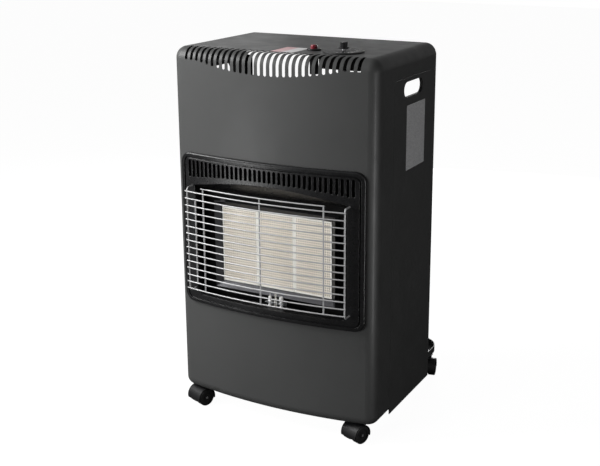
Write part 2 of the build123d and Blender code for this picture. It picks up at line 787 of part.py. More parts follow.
with BuildPart() as injector_rail:
    with BuildSketch(side_plane(venturi_shift - rail_half)):
        add(bent_sheet([(venturi_y - rail_reach, rail_z), (rail_back - sheet, rail_z),
                        (rail_back - sheet, rail_z - rail_foot)], sheet))
    extrude(amount=2 * rail_half)
    for x in venturi_xs:
        post(x, venturi_y, rail_z - 1, rail_z + 2 * sheet, injector_radius + gap, Mode.SUBTRACT)
    # clearance for the burner pipes
    with BuildSketch(Plane.XY.offset(rail_z - rail_foot - 1)):
        with Locations([(x, pipe_y) for x in venturi_xs]):
            Rectangle(pipe_diameter + 2 * pipe_play, pipe_diameter + 2 * pipe_play)
    extrude(amount=rail_foot - 1, mode=Mode.SUBTRACT)
save(injector_rail.part, "injector_rail")

with BuildPart() as injectors:
    for x in venturi_xs:
        post(x, venturi_y, injector_low, injector_low + injector_length, injector_radius)
        post(x, venturi_y, injector_low, injector_low + injector_length + injector_tip_length, injector_tip)
    with BuildSketch(Plane.XY.offset(rail_z + sheet + gap)):
        with Locations([(x, venturi_y) for x in venturi_xs]):
            RegularPolygon(injector_hex / 2, 6, major_radius=False)
    extrude(amount=injector_hex_height)
save(injectors.part, "injectors")

# ---- burner pipes ----------------------------------------------------------------------------
outlet_xs = [valve_x + (i - 1) * outlet_pitch for i in range(3)]
pipe_start = valve_low - outlet_length - gap

for i, name in enumerate(("left", "middle", "right")):
    level = rail_z - pipe_drop - i * pipe_step
    pipe = bent_tube([(outlet_xs[i], pipe_y, pipe_start), (outlet_xs[i], pipe_y, level),
                      (venturi_xs[i], pipe_y, level), (venturi_xs[i], venturi_y, level),
                      (venturi_xs[i], venturi_y, injector_low - gap)], pipe_diameter / 2, pipe_bend)
    save(pipe, f"gas_pipe_{name}")

# ---- pilot -----------------------------------------------------------------------------------
pilot_xs = (pilot_x - pilot_pitch, pilot_x, pilot_x + pilot_pitch)
shelf_z = recess_low + shelf_rise
pilot_bottom = shelf_z - pilot_below
pilot_top = plaque_low - pilot_drop
leg_y = pilot_y + pilot_notch / 2 + thin_sheet
floor_z = recess_low + thin_sheet + gap
flange_z = shelf_z + thin_sheet + gap

with BuildPart() as pilot_bracket:
    with BuildSketch(side_plane(pilot_x - shelf_half)):
        add(bent_sheet([(leg_y + shelf_foot, floor_z + thin_sheet), (leg_y, floor_z + thin_sheet),
                        (leg_y, shelf_z + thin_sheet), (pilot_y - pilot_notch / 2, shelf_z + thin_sheet)],
                       thin_sheet))
    extrude(amount=2 * shelf_half)
    for x in pilot_xs:
        post(x, pilot_y, shelf_z - 1, shelf_z + 2, ceramic_radius + gap, Mode.SUBTRACT)
save(pilot_bracket.part, "pilot_bracket")

with BuildPart() as spark_electrode:
    post(pilot_xs[0], pilot_y, pilot_bottom, pilot_top - spark_wire, ceramic_radius)
    post(pilot_xs[0], pilot_y, flange_z, flange_z + ceramic_flange, ceramic_radius + 1)
    post(pilot_xs[0], pilot_y, pilot_bottom, pilot_top, spark_wire_radius)
save(spark_electrode.part, "spark_electrode")

with BuildPart() as thermocouple:
    post(pilot_xs[1], pilot_y, pilot_bottom, pilot_top, sensor_radius)
    post(pilot_xs[1], pilot_y, pilot_bottom, pilot_top - sensor_tip, ceramic_radius)
save(thermocouple.part, "thermocouple")

with BuildPart() as pilot_burner:
    post(pilot_xs[2], pilot_y, pilot_bottom, pilot_top - pilot_cone_drop, ceramic_radius)
    with Locations((pilot_xs[2], pilot_y, pilot_top - pilot_cone_drop)):
        Cone(pilot_cone_radius, ceramic_radius, pilot_cone_height,
             align=(Align.CENTER, Align.CENTER, Align.MIN))
save(pilot_burner.part, "pilot_burner")

# ---- gas valve -------------------------------------------------------------------------------
valve_left = valve_x - valve_width / 2
magnet_x = valve_left - magnet_length
magnet_z = valve_low + magnet_radius + magnet_rise
hose_z = valve_low + hose_hex / 2 + hose_rise
pilot_outlet_x = valve_left + pilot_outlet_inset
bore_low = neck_top - bore_depth
rod_low = bore_low + push_travel + 1
spindle_low = rod_low + push_rod_length + gap
knob_z = height + dial_thick + push_travel + 2 * gap

with BuildPart() as valve_bracket:
    with BuildSketch(side_plane(valve_x - bracket_width / 2)):
        front = valve_y - bracket_depth / 2
        back = valve_y + bracket_depth / 2
        flange_z = height - 2 * sheet - gap
        add(bent_sheet([(front - bracket_flange, flange_z), (front, flange_z), (front, bracket_z),
                        (back, bracket_z), (back, flange_z), (back + bracket_flange, flange_z)], sheet))
    extrude(amount=bracket_width)
    post(valve_x, valve_y, bracket_z - 1, bracket_z + 2 * sheet, neck_radius + gap, Mode.SUBTRACT)
save(valve_bracket.part, "valve_bracket")

with BuildPart() as gas_valve:
    with BuildSketch(Plane.XY.offset(valve_low)):
        with Locations((valve_x, valve_y)):
            RectangleRounded(valve_width, valve_depth, valve_round)
    extrude(amount=valve_height)
    post(valve_x, valve_y, valve_top, bracket_z - gap, neck_collar_radius)
    post(valve_x, valve_y, valve_top, neck_top, neck_radius)
    for x in outlet_xs:
        post(x, pipe_y, valve_low - outlet_length, valve_low, outlet_radius)
    post(pilot_outlet_x, pipe_y, valve_low - outlet_length, valve_low, pilot_outlet_radius)
    with BuildSketch(side_plane(magnet_x)):
        with Locations((valve_y, magnet_z)):
            Circle(magnet_radius)
    extrude(amount=magnet_length)
    post(valve_x, valve_y, bore_low, neck_top + 1, spindle_radius + running, Mode.SUBTRACT)
save(gas_valve.part, "gas_valve")

with BuildPart() as valve_nut:
    with BuildSketch(Plane.XY.offset(bracket_z + sheet + gap)):
        with Locations((valve_x, valve_y)):
            RegularPolygon(valve_nut_hex / 2, 6, major_radius=False)
            Circle(neck_radius + gap, mode=Mode.SUBTRACT)
    extrude(amount=nut_height)
save(valve_nut.part, "valve_nut")

with BuildPart() as hose_inlet:
    inlet_y = valve_y + valve_depth / 2 + gap
    inlet_end = inlet_y + hose_hex_length + hose_length
    with BuildSketch(front_plane(inlet_y + hose_hex_length)):
        with Locations((valve_x, hose_z)):
            RegularPolygon(hose_hex / 2, 6, major_radius=False)
    extrude(amount=hose_hex_length)
    with BuildSketch(front_plane(inlet_end)):
        with Locations((valve_x, hose_z)):
            Circle(hose_radius)
    extrude(amount=hose_length)
    with BuildSketch(front_plane(inlet_end + 1)):
        with Locations((valve_x, hose_z)):
            Circle(hose_bore)
    extrude(amount=hose_length + hose_hex_length + 2, mode=Mode.SUBTRACT)
save(hose_inlet.part, "hose_inlet")

with BuildPart() as valve_push_rod:
    post(valve_x, valve_y, rod_low, rod_low + push_rod_length, spindle_radius)
save(valve_push_rod.part, "valve_push_rod")

with BuildPart() as valve_spindle:
    post(valve_x, valve_y, spindle_low, knob_z + knob_bore - gap, spindle_radius)
save(valve_spindle.part, "valve_spindle")

# ---- knob and dial ---------------------------------------------------------------------------
with BuildPart() as dial_plate:
    post(valve_x, valve_y, height + gap, height + gap + dial_thick, dial_radius)
    fillet(dial_plate.edges().group_by(Axis.Z)[-1], dial_thick / 2)
    post(valve_x, valve_y, height, height + 2 * dial_thick, spindle_radius + 1, Mode.SUBTRACT)
save(dial_plate.part, "dial_plate")

with BuildPart() as control_knob:
    post(valve_x, valve_y, knob_z, knob_z + knob_skirt, knob_radius)
    with BuildSketch(Plane.XY.offset(knob_z + knob_skirt)):
        with Locations((valve_x, valve_y)):
            RectangleRounded(grip_width, grip_length, grip_round)
    extrude(amount=grip_height)
    fillet(control_knob.edges().group_by(Axis.Z)[-1], knob_round)
    post(valve_x, valve_y, knob_z, knob_z + knob_bore, spindle_radius + running, Mode.SUBTRACT)
save(control_knob.part, "control_knob")

# ---- igniter ---------------------------------------------------------------------------------
ring_z = height + gap
ring_top = ring_z + igniter_ring_height
igniter_low = ring_top - igniter_length
button_low = ring_top - button_depth

with BuildPart() as igniter_body:
    post(igniter_x, valve_y, ring_z, ring_top, igniter_ring_radius)
    fillet(igniter_body.edges().group_by(Axis.Z)[-1], knob_round)
    post(igniter_x, valve_y, ring_z - igniter_neck_length, ring_z, igniter_neck_radius)
    post(igniter_x, valve_y, igniter_low, ring_z, igniter_body_radius)
    post(igniter_x, valve_y, igniter_low - terminal_length, igniter_low, terminal_radius)
    post(igniter_x, valve_y, button_low - button_travel - 1, ring_top + 1, button_radius + running,
         Mode.SUBTRACT)
save(igniter_body.part, "igniter_body")

with BuildPart() as igniter_button:
    post(igniter_x, valve_y, button_low, ring_top + button_stand, button_radius)
    fillet(igniter_button.edges().group_by(Axis.Z)[-1], button_radius / 2)
save(igniter_button.part, "igniter_button")

with BuildPart() as igniter_nut:
    with BuildSketch(Plane.XY.offset(height - sheet - gap - nut_height)):
        with Locations((igniter_x, valve_y)):
            RegularPolygon(igniter_nut_hex / 2, 6, major_radius=False)
            Circle(igniter_neck_radius + gap, mode=Mode.SUBTRACT)
    extrude(amount=nut_height)
save(igniter_nut.part, "igniter_nut")

# ---- pilot lines, from the controls down behind the burner and forward under the recess ------
lead_xs = [igniter_x - lead_inset + i * lead_pitch for i in range(3)]
drop_z = partition_top + 2 * lead_bend
level = [recess_low - lead_drop - i * lead_step for i in range(3)]
terminal_z = igniter_low - terminal_length

ignition_lead = bent_tube([(igniter_x, valve_y, terminal_z - gap), (igniter_x, valve_y, drop_z + lead_bend),
                           (lead_xs[0], pipe_y, drop_z - lead_bend), (lead_xs[0], pipe_y, level[0]),
                           (pilot_xs[0], pipe_y, level[0]), (pilot_xs[0], pilot_y, level[0]),
                           (pilot_xs[0], pilot_y, pilot_bottom - gap)], lead_diameter / 2, lead_bend)
save(ignition_lead, "ignition_lead")

thermocouple_lead = bent_tube([(magnet_x - gap, valve_y, magnet_z), (lead_xs[1], valve_y, magnet_z),
                               (lead_xs[1], pipe_y, drop_z - lead_bend), (lead_xs[1], pipe_y, level[1]),
                               (pilot_xs[1], pipe_y, level[1]), (pilot_xs[1], pilot_y, level[1]),
                               (pilot_xs[1], pilot_y, pilot_bottom - gap)], lead_diameter / 2, lead_bend)
save(thermocouple_lead, "thermocouple_lead")

pilot_tube = bent_tube([(pilot_outlet_x, pipe_y, pipe_start), (pilot_outlet_x, pipe_y, drop_z - lead_bend),
                        (lead_xs[2], pipe_y, drop_z - 4 * lead_bend), (lead_xs[2], pipe_y, level[2]),
                        (pilot_xs[2], pipe_y, level[2]), (pilot_xs[2], pilot_y, level[2]),
                        (pilot_xs[2], pilot_y, pilot_bottom - gap)], tube_diameter / 2, lead_bend)
save(pilot_tube, "pilot_tube")

# ---- castors ---------------------------------------------------------------------------------
stem_low = collar_low - castor_stem_length
axle_half = castor_web / 2 + wheel_gap + wheel_width

with BuildPart() as castor_stems:
    for x, y, heading in castor_places.values():
        post(x, y, collar_low, collar_low + castor_collar, castor_collar_radius)
        post(x, y, stem_low, tray_top - gap, castor_stem_radius)
save(castor_stems.part, "castor_stems")

with BuildPart() as castor_nuts:
    with BuildSketch(Plane.XY.offset(castor_nut_low)):
        for x, y, heading in castor_places.values():
            with Locations((x, y)):
                RegularPolygon(castor_nut_hex / 2, 6, major_radius=False)
                Circle(castor_stem_radius + gap, mode=Mode.SUBTRACT)
    extrude(amount=nut_height)
save(castor_nuts.part, "castor_nuts")

# one castor: stem on the Z axis, wheels turning about an axle along X that trails behind
with BuildPart() as hood:
    with BuildSketch(side_plane(-axle_half)):
        with Locations((-castor_trail, wheel_radius)):
            Circle(hood_radius)
    extrude(amount=2 * axle_half)
    post(0, 0, wheel_radius, hood_top, boss_radius)
    for side in (-1, 1):
        with BuildSketch(side_plane(side * castor_web / 2)):
            with Locations((-castor_trail, wheel_radius)):
                Circle(wheel_radius + hood_clearance)
        extrude(amount=side * 2 * axle_half, mode=Mode.SUBTRACT)
    with BuildSketch(side_plane(-axle_half)):
        with Locations((-castor_trail, wheel_radius)):
            Circle(castor_axle_radius + running)
    extrude(amount=2 * axle_half, mode=Mode.SUBTRACT)
    post(0, 0, stem_low - gap, hood_top + 1, castor_stem_radius + running, Mode.SUBTRACT)
    # open below
    with BuildSketch(Plane.XY.offset(hood_cut)):
        with Locations((0, -castor_trail)):
            Rectangle(4 * axle_half, 4 * hood_radius)
    extrude(amount=-2 * hood_radius, mode=Mode.SUBTRACT)

with BuildPart() as axle:
    with BuildSketch(side_plane(-axle_half)):
        with Locations((-castor_trail, wheel_radius)):
            Circle(castor_axle_radius)
    extrude(amount=2 * axle_half)

with BuildPart() as wheel:
    inner_x = castor_web / 2 + wheel_gap
    with BuildSketch(side_plane(inner_x)):
        with Locations((-castor_trail, wheel_radius)):
            Circle(wheel_radius)
    extrude(amount=wheel_width)
    fillet(wheel.edges().filter_by(GeomType.CIRCLE), wheel_round)
    with BuildSketch(side_plane(inner_x + wheel_width - wheel_dish)):
        with Locations((-castor_trail, wheel_radius)):
            Circle(wheel_radius - 2 * wheel_round - wheel_dish)
            Circle(hub_radius, mode=Mode.SUBTRACT)
    extrude(amount=wheel_dish + 1, mode=Mode.SUBTRACT)
    with BuildSketch(side_plane(inner_x - 1)):
        with Locations((-castor_trail, wheel_radius)):
            Circle(castor_axle_radius + running)
    extrude(amount=wheel_width + 2, mode=Mode.SUBTRACT)
far_wheel = mirror(wheel.part, about=Plane.YZ)

for name, (x, y, heading) in castor_places.items():
    place = Location((x, y, 0), (0, 0, heading))
    save(hood.part.moved(place), f"castor_hood_{name}")
    save(axle.part.moved(place), f"castor_axle_{name}")
    save(wheel.part.moved(place), f"castor_wheel_{name}_right")
    save(far_wheel.moved(place), f"castor_wheel_{name}_left")
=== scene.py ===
"""Looks of the wheeled gas cabinet heater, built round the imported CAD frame.

Metres, in the frame's own axes: +Z is up, the front faces -Y and the floor is z = 0.
"""

from math import cos, pi, radians, sin

import bmesh
import bpy
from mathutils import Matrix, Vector


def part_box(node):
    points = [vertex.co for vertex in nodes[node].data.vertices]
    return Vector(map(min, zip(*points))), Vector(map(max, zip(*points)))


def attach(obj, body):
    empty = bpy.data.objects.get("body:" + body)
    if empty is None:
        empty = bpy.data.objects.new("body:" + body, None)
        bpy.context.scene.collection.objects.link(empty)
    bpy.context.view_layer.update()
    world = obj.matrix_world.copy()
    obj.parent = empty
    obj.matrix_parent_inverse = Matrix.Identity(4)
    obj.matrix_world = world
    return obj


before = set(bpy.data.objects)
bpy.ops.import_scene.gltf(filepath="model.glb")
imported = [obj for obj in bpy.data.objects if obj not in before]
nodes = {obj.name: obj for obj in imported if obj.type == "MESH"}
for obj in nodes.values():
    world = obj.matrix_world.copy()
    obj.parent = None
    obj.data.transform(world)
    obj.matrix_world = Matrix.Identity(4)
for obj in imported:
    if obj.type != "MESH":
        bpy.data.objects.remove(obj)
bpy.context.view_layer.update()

X, Y, Z = Vector((1, 0, 0)), Vector((0, 1, 0)), Vector((0, 0, 1))

# ---- sizes and places ------------------------------------------------------------------------
# flame plaques
HOLE_PITCH = 0.0046
HOLE_SHADE = 0.75  # how strongly the painted shade inside a hole darkens its middle
RIM_SIDE, RIM_END = 0.035, 0.02  # shares of the width and of the height without holes, at each edge
PLAQUE_RELIEF = 6e-4
GRIT_SHARE = 0.15  # of the relief

# cement beads between the plaques
BEAD_PLAY = 0.0001  # between the bead and the plaque on each side
BEAD_SINK, BEAD_BACK = 0.00042, 0.0027  # from the plaques' faces to the crest and to the back
BEAD_CROWN = 0.0007  # from the crest to the bead's sides
BEAD_WAVER = 0.00015  # the crest's unevenness, from two waves
BEAD_SHORT_WAVE, BEAD_LONG_WAVE = 1.9, 0.7  # radians for each row
BEAD_ROWS, BEAD_COLUMNS = 48, 6

# stickers: place of the middle, size across and up, corner radius, thickness
SIDE_PLATE_Y, SIDE_PLATE_Z = -0.0066, 0.5602
SIDE_PLATE_SIZE, SIDE_PLATE_RADIUS, SIDE_PLATE_THICK = (0.0865, 0.1206), 0.002, 0.00006
TOP_LABEL_X, TOP_LABEL_Y = 0.012, -0.124
TOP_LABEL_SIZE, TOP_LABEL_RADIUS, TOP_LABEL_THICK = (0.046, 0.064), 0.003, 0.0002

# dashes on the dial and on the knob: inner and outer reach from the knob's axis, half width
OFF_TURN, MARK_STEP, MARK_COUNT = -90, 15, 13  # degrees round the axis
MARK_INNER, MARK_OUTER, MARK_HALF, MARK_THICK = 0.0225, 0.0265, 0.0004, 0.00012
LONG_MARK_EVERY, LONG_MARK_EXTRA = 4, 0.004
POINTER_INNER, POINTER_OUTER, POINTER_HALF, POINTER_THICK = 0.002, 0.0075, 0.0006, 0.00006
PRINT_SINK = 1e-5  # into the face that carries them

# noise: the span that its values mostly keep to, and how much finer gloss varies than tone
NOISE_LOW, NOISE_HIGH = 0.3, 0.7
GLOSS_FINER = 6

# radius by which the bezel's edges look rounded
MOULDING_EDGE = 0.0016

# studio, where a brightness of 1 is white
FLOOR_HALF = 9
FLOOR_SHADE, FLOOR_GLOW = 0.12, 0.97  # the floor's own grey, and its glow towards the camera
WORLD_GLOSS, WORLD_FILL = 0.34, 0.05  # the world in reflections, and as a light

# camera: degrees from the front towards the right and upwards, distance to the target
CAMERA_TURN, CAMERA_LIFT, CAMERA_DISTANCE = 27.14, 15.016, 1.975
CAMERA_TARGET = Vector((0.05651, -0.0723, 0.44881))
LENS, SENSOR_WIDTH = 62.87, 36  # millimetres
SHIFT_X, SHIFT_Y = -0.0422, -0.0701  # shares of the picture's width
CLIP_START = 0.05


# ---- node helpers ----------------------------------------------------------------------------
def shader(name, **sockets):
    """New node material with its plain sockets set; returns it with its tree and shader node."""
    material = bpy.data.materials.new(name)
    material.use_nodes = True
    tree = material.node_tree
    bsdf = tree.nodes["Principled BSDF"]
    for key, value in sockets.items():
        bsdf.inputs[key.replace("_", " ")].default_value = value
    return material, tree, bsdf


def coordinates(tree, kind):
    """X, Y and Z over a piece: kind Object is in metres, Generated in shares of the piece's box."""
    place = tree.nodes.new("ShaderNodeTexCoord")
    split = tree.nodes.new("ShaderNodeSeparateXYZ")
    tree.links.new(place.outputs[kind], split.inputs["Vector"])
    return split.outputs


def noise(tree, scale, detail=3.0, stretch=(1, 1, 1)):
    """Noise over the piece's own metres."""
    place = tree.nodes.new("ShaderNodeTexCoord")
    mapping = tree.nodes.new("ShaderNodeMapping")
    mapping.inputs["Scale"].default_value = stretch
    texture = tree.nodes.new("ShaderNodeTexNoise")
    texture.inputs["Scale"].default_value = scale
    texture.inputs["Detail"].default_value = detail
    tree.links.new(place.outputs["Object"], mapping.inputs["Vector"])
    tree.links.new(mapping.outputs["Vector"], texture.inputs["Vector"])
    return texture.outputs["Fac"]


def maths(tree, operation, first, second=None):
    """Result of a math node; first and second are sockets or plain numbers."""
    node = tree.nodes.new("ShaderNodeMath")
    node.operation = operation
    for socket, value in zip(node.inputs, (first, second)):
        if isinstance(value, (int, float)):
            socket.default_value = value
        elif value is not None:
            tree.links.new(value, socket)
    return node.outputs["Value"]


def inner_part(tree, share, margin):
    """1 where a share is further than margin from both 0 and 1, and 0 elsewhere."""
    above = maths(tree, "GREATER_THAN", share, margin)
    below = maths(tree, "LESS_THAN", share, 1 - margin)
    return maths(tree, "MULTIPLY", above, below)


def ramp(tree, value, stops):
    """Colour ramp over a value; stops are (position, (r, g, b))."""
    node = tree.nodes.new("ShaderNodeValToRGB")
    while len(node.color_ramp.elements) < len(stops):
        node.color_ramp.elements.new(0.5)
    for element, (position, colour) in zip(node.color_ramp.elements, stops):
        element.position = position
        element.color = (*colour, 1)
    tree.links.new(value, node.inputs["Fac"])
    return node.outputs["Color"]


def mottled(tree, cloud, dark, light):
    """Colour that follows a noise from a dark tone to a light one."""
    return ramp(tree, cloud, [(NOISE_LOW, dark), (NOISE_HIGH, light)])


def mixed(tree, share, under, over):
    """Colour under with a share of colour over; each colour is a socket or a plain (r, g, b)."""
    node = tree.nodes.new("ShaderNodeMix")
    node.data_type = "RGBA"
    tree.links.new(share, node.inputs["Factor"])
    for key, colour in (("A", under), ("B", over)):
        if isinstance(colour, tuple):
            node.inputs[key].default_value = (*colour, 1)
        else:
            tree.links.new(colour, node.inputs[key])
    return node.outputs["Result"]


def spread(tree, value, low, high):
    """Value mapped from the usual span of a noise to low .. high."""
    node = tree.nodes.new("ShaderNodeMapRange")
    node.inputs["From Min"].default_value = NOISE_LOW
    node.inputs["From Max"].default_value = NOISE_HIGH
    node.inputs["To Min"].default_value = low
    node.inputs["To Max"].default_value = high
    tree.links.new(value, node.inputs["Value"])
    return node.outputs["Result"]


def bump(tree, bsdf, value, depth):
    """Relief of a given depth in metres."""
    node = tree.nodes.new("ShaderNodeBump")
    node.inputs["Distance"].default_value = depth
    node.inputs["Strength"].default_value = 1.0
    tree.links.new(value, node.inputs["Height"])
    tree.links.new(node.outputs["Normal"], bsdf.inputs["Normal"])


# ---- kinds of surface ------------------------------------------------------------------------
def finish(name, colour, rough, *, patch, swing, grain, depth, metal=0.0, specular=0.5,
           rough_swing=0.06, stretch=(1, 1, 1), coat=0.0, coat_rough=0.03):
    """Surface with uneven tone, uneven gloss and a fine grain.

    patch and grain are the noise scales of the tone and of the relief, swing and rough_swing say
    how far tone and roughness stray, and depth is the relief's height in metres.
    """
    material, tree, bsdf = shader(name, Metallic=metal, Specular_IOR_Level=specular,
                                  Coat_Weight=coat, Coat_Roughness=coat_rough)
    dark = tuple(c * (1 - swing) for c in colour)
    light = tuple(min(1, c * (1 + swing)) for c in colour)
    cloud = noise(tree, patch, detail=4.0, stretch=stretch)
    tree.links.new(mottled(tree, cloud, dark, light), bsdf.inputs["Base Color"])
    gloss = noise(tree, patch * GLOSS_FINER, stretch=stretch)
    gloss = spread(tree, gloss, rough - rough_swing, rough + rough_swing)
    tree.links.new(gloss, bsdf.inputs["Roughness"])
    bump(tree, bsdf, noise(tree, grain, detail=2.0, stretch=stretch), depth)
    return material


def ceramic(name):
    """Porous plaque: a grid of flame holes with painted shade in them, inside a rim without holes
    that is painted paler as a sheen, on a softly mottled body.
    """
    material, tree, bsdf = shader(name, Specular_IOR_Level=0.2, Roughness=0.85)
    metres, shares = coordinates(tree, "Object"), coordinates(tree, "Generated")
    rows, columns = (maths(tree, "SINE", maths(tree, "MULTIPLY", metres[axis], pi / HOLE_PITCH))
                     for axis in "ZX")
    crossings = maths(tree, "ABSOLUTE", maths(tree, "MULTIPLY", rows, columns))
    inside = maths(tree, "MULTIPLY", inner_part(tree, shares["X"], RIM_SIDE),
                   inner_part(tree, shares["Z"], RIM_END))
    dots = maths(tree, "MULTIPLY", maths(tree, "POWER", crossings, 2.0), inside)

    cloud = noise(tree, scale=34.0, detail=5.0)
    core = mottled(tree, cloud, (0.88, 0.81, 0.7), (0.94, 0.88, 0.78))
    # rim painted paler than the mottled body: a painted sheen on the plaques' bevelled edges
    body = mixed(tree, inside, (0.99, 0.97, 0.91), core)
    # holes darkened towards (0.1, 0.085, 0.07): painted shade inside the flame holes
    colour = mixed(tree, maths(tree, "MULTIPLY", dots, HOLE_SHADE), body, (0.1, 0.085, 0.07))
    tree.links.new(colour, bsdf.inputs["Base Color"])

    grit = maths(tree, "MULTIPLY", noise(tree, scale=1500.0, detail=2.0), GRIT_SHARE)
    relief = maths(tree, "ADD", maths(tree, "MULTIPLY", dots, -1.0), grit)
    bump(tree, bsdf, relief, PLAQUE_RELIEF)
    return material


def two_tone(name):
    """Blank sticker, pale red on its left half and white on the rest."""
    material, tree, bsdf = shader(name, Roughness=0.35)
    stops = [(0.0, (0.56, 0.24, 0.26)), (0.5, (0.6, 0.38, 0.39)),
             (0.56, (0.7, 0.68, 0.69)), (1.0, (0.78, 0.77, 0.76))]
    colour = ramp(tree, coordinates(tree, "Generated")["X"], stops)
    tree.links.new(colour, bsdf.inputs["Base Color"])
    bump(tree, bsdf, noise(tree, scale=500.0), depth=1e-5)
    return material


def soften(material, radius):
    """Edges catch the light as if rounded by radius."""
    tree = material.node_tree
    edge = tree.nodes.new("ShaderNodeBevel")
    edge.samples = 6
    edge.inputs["Radius"].default_value = radius
    relief = next(node for node in tree.nodes if node.bl_idname == "ShaderNodeBump")
    tree.links.new(edge.outputs["Normal"], relief.inputs["Normal"])


# ---- materials -------------------------------------------------------------------------------
# cabinet
paint = finish("charcoal_powder_coat", (0.055, 0.056, 0.0555), 0.55, specular=0.3,
               patch=5.0, swing=0.05, grain=1100.0, depth=1.2e-5, coat=0.08, coat_rough=0.25)
plated = finish("plated_steel", (0.52, 0.52, 0.53), 0.32, metal=1.0,
                patch=60.0, swing=0.1, grain=900.0, depth=8e-6)

# bezel and guard
moulding = finish("black_glossy_moulding", (0.008, 0.008, 0.0085), 0.3, specular=0.3,
                  patch=60.0, swing=0.3, grain=500.0, depth=2.5e-5, rough_swing=0.05)
soften(moulding, MOULDING_EDGE)
chrome = finish("bright_wire", (0.4, 0.4, 0.405), 0.5, metal=0.6,
                patch=40.0, swing=0.06, grain=700.0, depth=5e-6)

# burner and pilot
plaque = ceramic("flame_plaque")
cement = finish("joint_cement", (0.97, 0.95, 0.89), 0.85, specular=0.2,
                patch=90.0, swing=0.05, grain=900.0, depth=1e-4)
aluminised = finish("aluminised_sheet", (0.62, 0.61, 0.58), 0.42, metal=0.85,
                    patch=22.0, swing=0.14, grain=500.0, depth=8e-6, stretch=(1, 1, 0.2))
# polished reflector sheets coloured near black: a painted reflection of the dark recess they face
reflector_dark_reflection = finish("reflector_painted_dark_reflection", (0.05, 0.05, 0.053), 0.45, metal=1.0,
                      patch=14.0, swing=0.16, grain=60.0, depth=1.5e-5)
# near black for the burner recess and the valve bracket: painted shade of the recess behind the
# guard and behind the slots
recess_painted_shade = finish("near_black_painted_shade", (0.009, 0.009, 0.009), 0.7, specular=0.1,
                      patch=30.0, swing=0.3, grain=700.0, depth=3e-5)
glaze = finish("white_glaze", (0.96, 0.96, 0.95), 0.22,
               patch=60.0, swing=0.05, grain=500.0, depth=8e-6, coat=0.3)
probe = finish("heat_tinted_steel", (0.62, 0.6, 0.56), 0.35, metal=0.7,
               patch=120.0, swing=0.35, grain=900.0, depth=8e-6)
zinc = finish("zinc_sheet", (0.42, 0.43, 0.45), 0.38, metal=0.9,
              patch=28.0, swing=0.22, grain=260.0, depth=6e-6, rough_swing=0.12)

# valve, pipes and leads
brass = finish("turned_brass", (0.66, 0.47, 0.2), 0.28, metal=1.0,
               patch=70.0, swing=0.1, grain=900.0, depth=8e-6, stretch=(1, 1, 6))
cast = finish("cast_aluminium", (0.55, 0.55, 0.56), 0.5, metal=0.85,
              patch=60.0, swing=0.12, grain=700.0, depth=5e-5)
tube = finish("drawn_aluminium", (0.7, 0.7, 0.71), 0.33, metal=1.0,
              patch=30.0, swing=0.07, grain=800.0, depth=5e-6, stretch=(6, 6, 0.4))
copper = finish("capillary_copper", (0.5, 0.24, 0.13), 0.35, metal=1.0,
                patch=40.0, swing=0.2, grain=800.0, depth=6e-6)
sleeve = finish("silicone_sleeve", (0.62, 0.62, 0.6), 0.5, specular=0.4,
                patch=40.0, swing=0.06, grain=700.0, depth=2e-5)

# controls and stickers
dial_grey = finish("dial_lacquer", (0.016, 0.016, 0.0165), 0.45, specular=0.3,
                   patch=60.0, swing=0.1, grain=900.0, depth=6e-6)
plastic = finish("black_control_plastic", (0.01, 0.01, 0.0105), 0.42, specular=0.3,
                 patch=60.0, swing=0.15, grain=1400.0, depth=2e-5)
red = finish("red_button", (0.18, 0.003, 0.014), 0.3,
             patch=80.0, swing=0.1, grain=900.0, depth=4e-6, coat=0.1)
mark_white = finish("marking_white", (0.75, 0.75, 0.73), 0.4,
                    patch=60.0, swing=0.05, grain=900.0, depth=4e-6)
blank_label = two_tone("blank_label")
pale_sticker = finish("pale_sticker", (0.88, 0.88, 0.89), 0.45,
                      patch=160.0, swing=0.12, grain=700.0, depth=1e-5, stretch=(1, 1, 3))

# castors
hood_plastic = finish("castor_plastic", (0.008, 0.008, 0.0085), 0.5, specular=0.25,
                      patch=50.0, swing=0.2, grain=1200.0, depth=4e-5)
tread = finish("hard_wheel", (0.012, 0.012, 0.0125), 0.5, specular=0.3,
               patch=70.0, swing=0.35, grain=900.0, depth=4e-5, rough_swing=0.12)

# ---- CAD nodes -------------------------------------------------------------------------------
BY_NODE = {
    "front_casing": paint, "side_panel_left": paint, "side_panel_right": paint,
    "base_tray": paint, "partition_panel": paint, "partition_screws": plated,
    "bezel": moulding, "wire_guard": chrome,
    "burner_recess": recess_painted_shade, "injector_rail": zinc, "injectors": brass,
    "pilot_bracket": zinc, "pilot_burner": glaze, "spark_electrode": glaze, "thermocouple": probe,
    "valve_bracket": recess_painted_shade, "gas_valve": cast, "valve_nut": plated, "hose_inlet": brass,
    "valve_push_rod": plated, "valve_spindle": plated,
    "ignition_lead": sleeve, "thermocouple_lead": copper, "pilot_tube": tube,
    "dial_plate": dial_grey, "control_knob": plastic,
    "igniter_body": plastic, "igniter_button": red, "igniter_nut": plastic,
    "castor_stems": plated, "castor_nuts": plated,
}
BY_START = {
    "ceramic_plaque": plaque, "burner_head": aluminised, "reflector": reflector_dark_reflection,
    "gas_pipe": tube,
    "castor_hood": hood_plastic, "castor_axle": plated, "castor_wheel": tread,
}
for name, node in nodes.items():
    by_start = (material for start, material in BY_START.items() if name.startswith(start))
    material = BY_NODE.get(name) or next(by_start)
    node.data.materials.clear()
    node.data.materials.append(material)


# ---- pieces ----------------------------------------------------------------------------------
def piece(name, mesh, material, body):
    """Object from a bmesh, dressed and carried by a CAD body."""
    data = bpy.data.meshes.new(name)
    mesh.to_mesh(data)
    mesh.free()
    data.materials.append(material)
    thing = bpy.data.objects.new(name, data)
    bpy.context.scene.collection.objects.link(thing)
    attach(thing, body)


